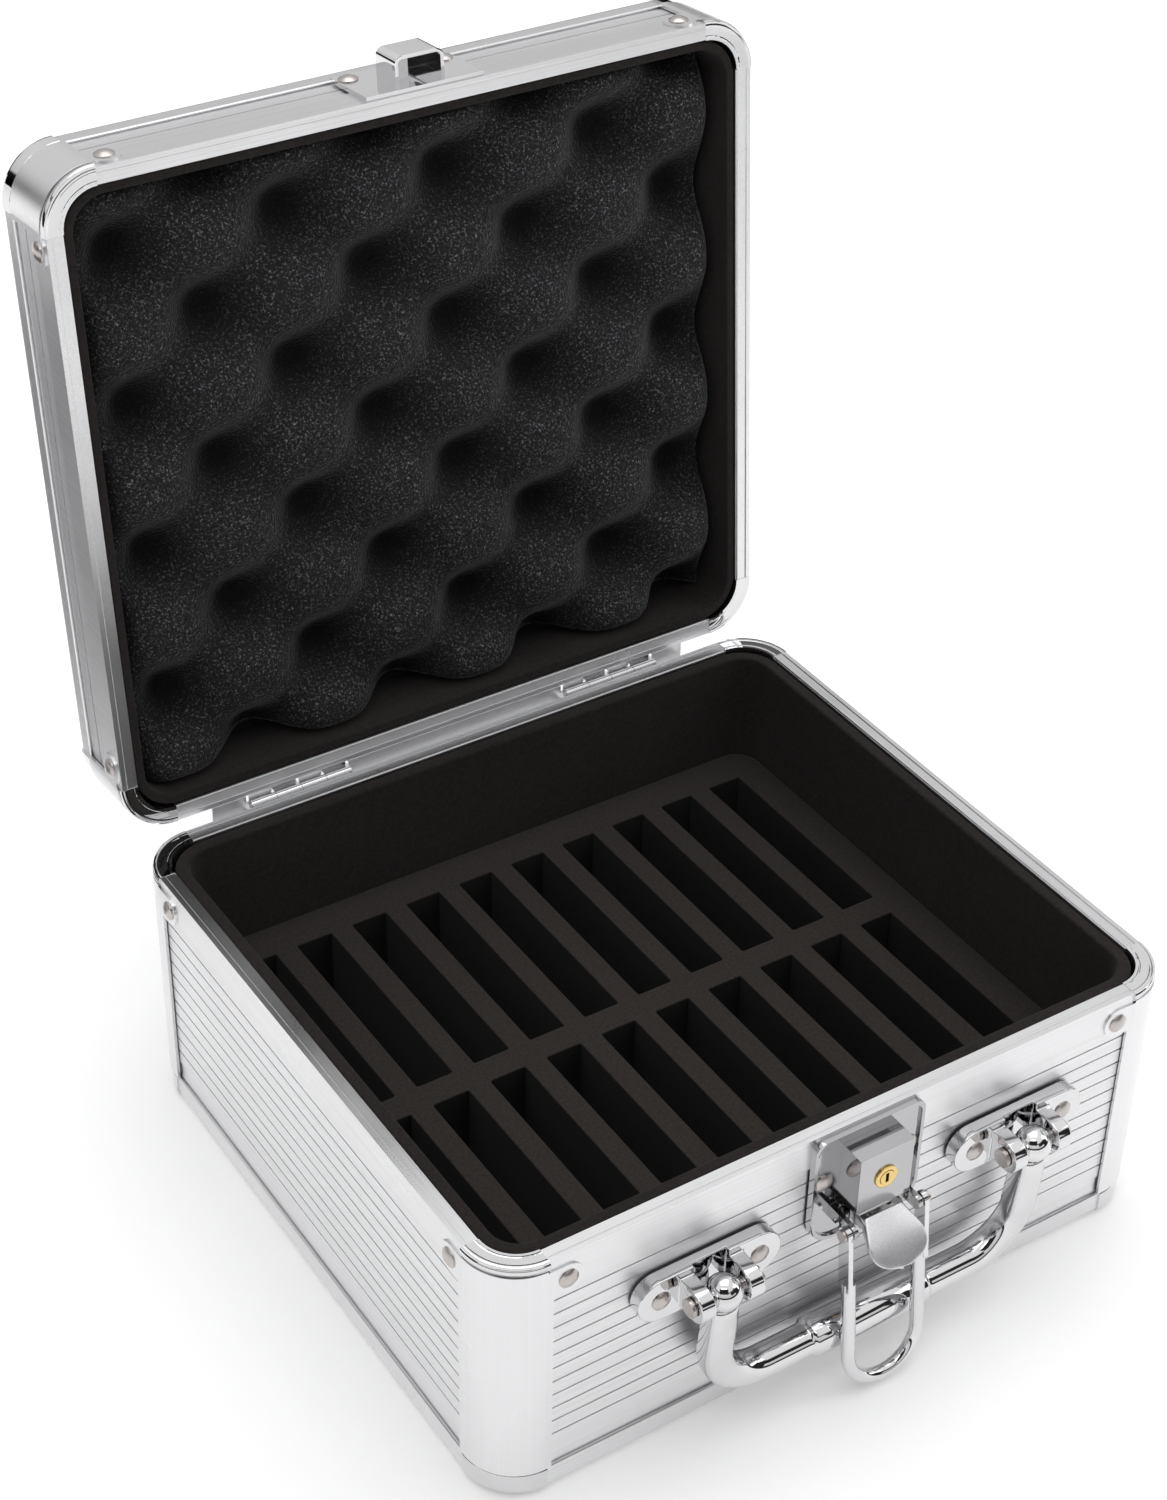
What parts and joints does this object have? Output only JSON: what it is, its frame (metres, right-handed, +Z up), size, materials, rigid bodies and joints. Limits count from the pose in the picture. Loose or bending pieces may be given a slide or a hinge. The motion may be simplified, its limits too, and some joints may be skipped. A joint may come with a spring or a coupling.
{
  "type": "aluminium-framed carrying case",
  "caption": "Square aluminium-framed carrying case with an open lid, egg-crate foam, a slotted insert, bright metal corners, a drop handle and a bail latch with a key lock",
  "frame": {"origin": "centre of the base's footprint, on the ground", "axes": "X to the right along the front, +Y toward the hinges, +Z up; the handle side faces -Y"},
  "size_m": [0.2134, 0.2596, 0.279],
  "materials": {
    "ribbed_sheet": "satin",
    "rail": "satin",
    "post": "satin",
    "chrome": "polished",
    "rivet": "domed, dull",
    "board": "pressed fibreboard",
    "sheet": "satin",
    "lining": "matte",
    "eva": "matte closed-cell foam",
    "foam": "open-cell foam",
    "brass": "machined",
    "satin": "satin plated",
    "hinge": "plated",
    "pin": "polished"
  },
  "bodies": {
    "case": {"base_floor": "board", "base_boards": "board", "base_skin_front": "ribbed_sheet", "base_skin_right": "ribbed_sheet", "base_skin_rear": "ribbed_sheet", "base_skin_left": "ribbed_sheet", "base_rim_rail_front": "rail", "base_rim_rail_right": "rail", "base_rim_rail_rear": "rail", "base_rim_rail_left": "rail", "base_foot_rail_front": "rail", "base_foot_rail_right": "rail", "base_foot_rail_rear": "rail", "base_foot_rail_left": "rail", "base_pillar_front_left": "post", "base_pillar_front_right": "post", "base_pillar_rear_right": "post", "base_pillar_rear_left": "post", "base_rim_corners": "chrome", "base_foot_corners": "chrome", "base_rivets": "rivet", "base_liner": "lining", "base_hinge_leaves": "hinge", "hinge_pins": "hinge", "lock_plate": "chrome", "lock_box": "chrome", "lock_cylinder": "brass", "lever_pin": "pin", "handle_bracket_left": "chrome", "handle_bracket_right": "chrome", "handle_pins": "pin", "bail_pins": "pin"},
    "insert": {"insert_pad": "eva", "insert_bars": "eva", "insert_dividers": "eva"},
    "lid": {"lid_panel": "sheet", "lid_boards": "board", "lid_skin_front": "ribbed_sheet", "lid_skin_right": "ribbed_sheet", "lid_skin_rear": "ribbed_sheet", "lid_skin_left": "ribbed_sheet", "lid_rim_rail_front": "rail", "lid_rim_rail_right": "rail", "lid_rim_rail_rear": "rail", "lid_rim_rail_left": "rail", "lid_edge_rails_long": "rail", "lid_edge_rails_short": "rail", "lid_pillars": "post", "lid_rim_corners": "chrome", "lid_edge_corners": "chrome", "lid_rivets": "rivet", "lid_liner": "lining", "lid_foam": "foam", "keeper": "chrome", "lid_hinge_leaves": "hinge"},
    "handle": {"handle": "chrome"},
    "lever": {"lever": "satin"},
    "bail": {"bail": "chrome"},
    "key": {"key_plug": "brass", "lock_cam": "pin"}
  },
  "joints": [
    {"name": "lid_hinge", "type": "hinge", "parent": "case", "child": "lid", "pos_m": [0, 0.0975, 0.0797], "axis": [-1, 0, 0], "range_deg": [-95, 0]},
    {"name": "handle_pivot", "type": "hinge", "parent": "case", "child": "handle", "pos_m": [0.0028, -0.1045, 0.0545], "axis": [1, 0, 0], "range_deg": [-105, 0]},
    {"name": "lever_pivot", "type": "hinge", "parent": "case", "child": "lever", "pos_m": [0.0028, -0.0996, 0.0535], "axis": [1, 0, 0], "range_deg": [-15, 48]},
    {"name": "bail_swing", "type": "hinge", "parent": "case", "child": "bail", "pos_m": [0.0028, -0.10498, 0.0546], "axis": [1, 0, 0], "range_deg": [-105, 0]},
    {"name": "key_turn", "type": "hinge", "parent": "case", "child": "key", "pos_m": [0.0028, -0.1, 0.0677], "axis": [0, 1, 0], "range_deg": [0, 90]},
    {"name": "insert_lift", "type": "slide", "parent": "case", "child": "insert", "axis": [0, 0, 1], "range_m": [0, 0.08]}
  ],
  "couplings": [
    {"joint": "bail_swing", "follows": "handle_pivot", "ratio": 1}
  ]
}
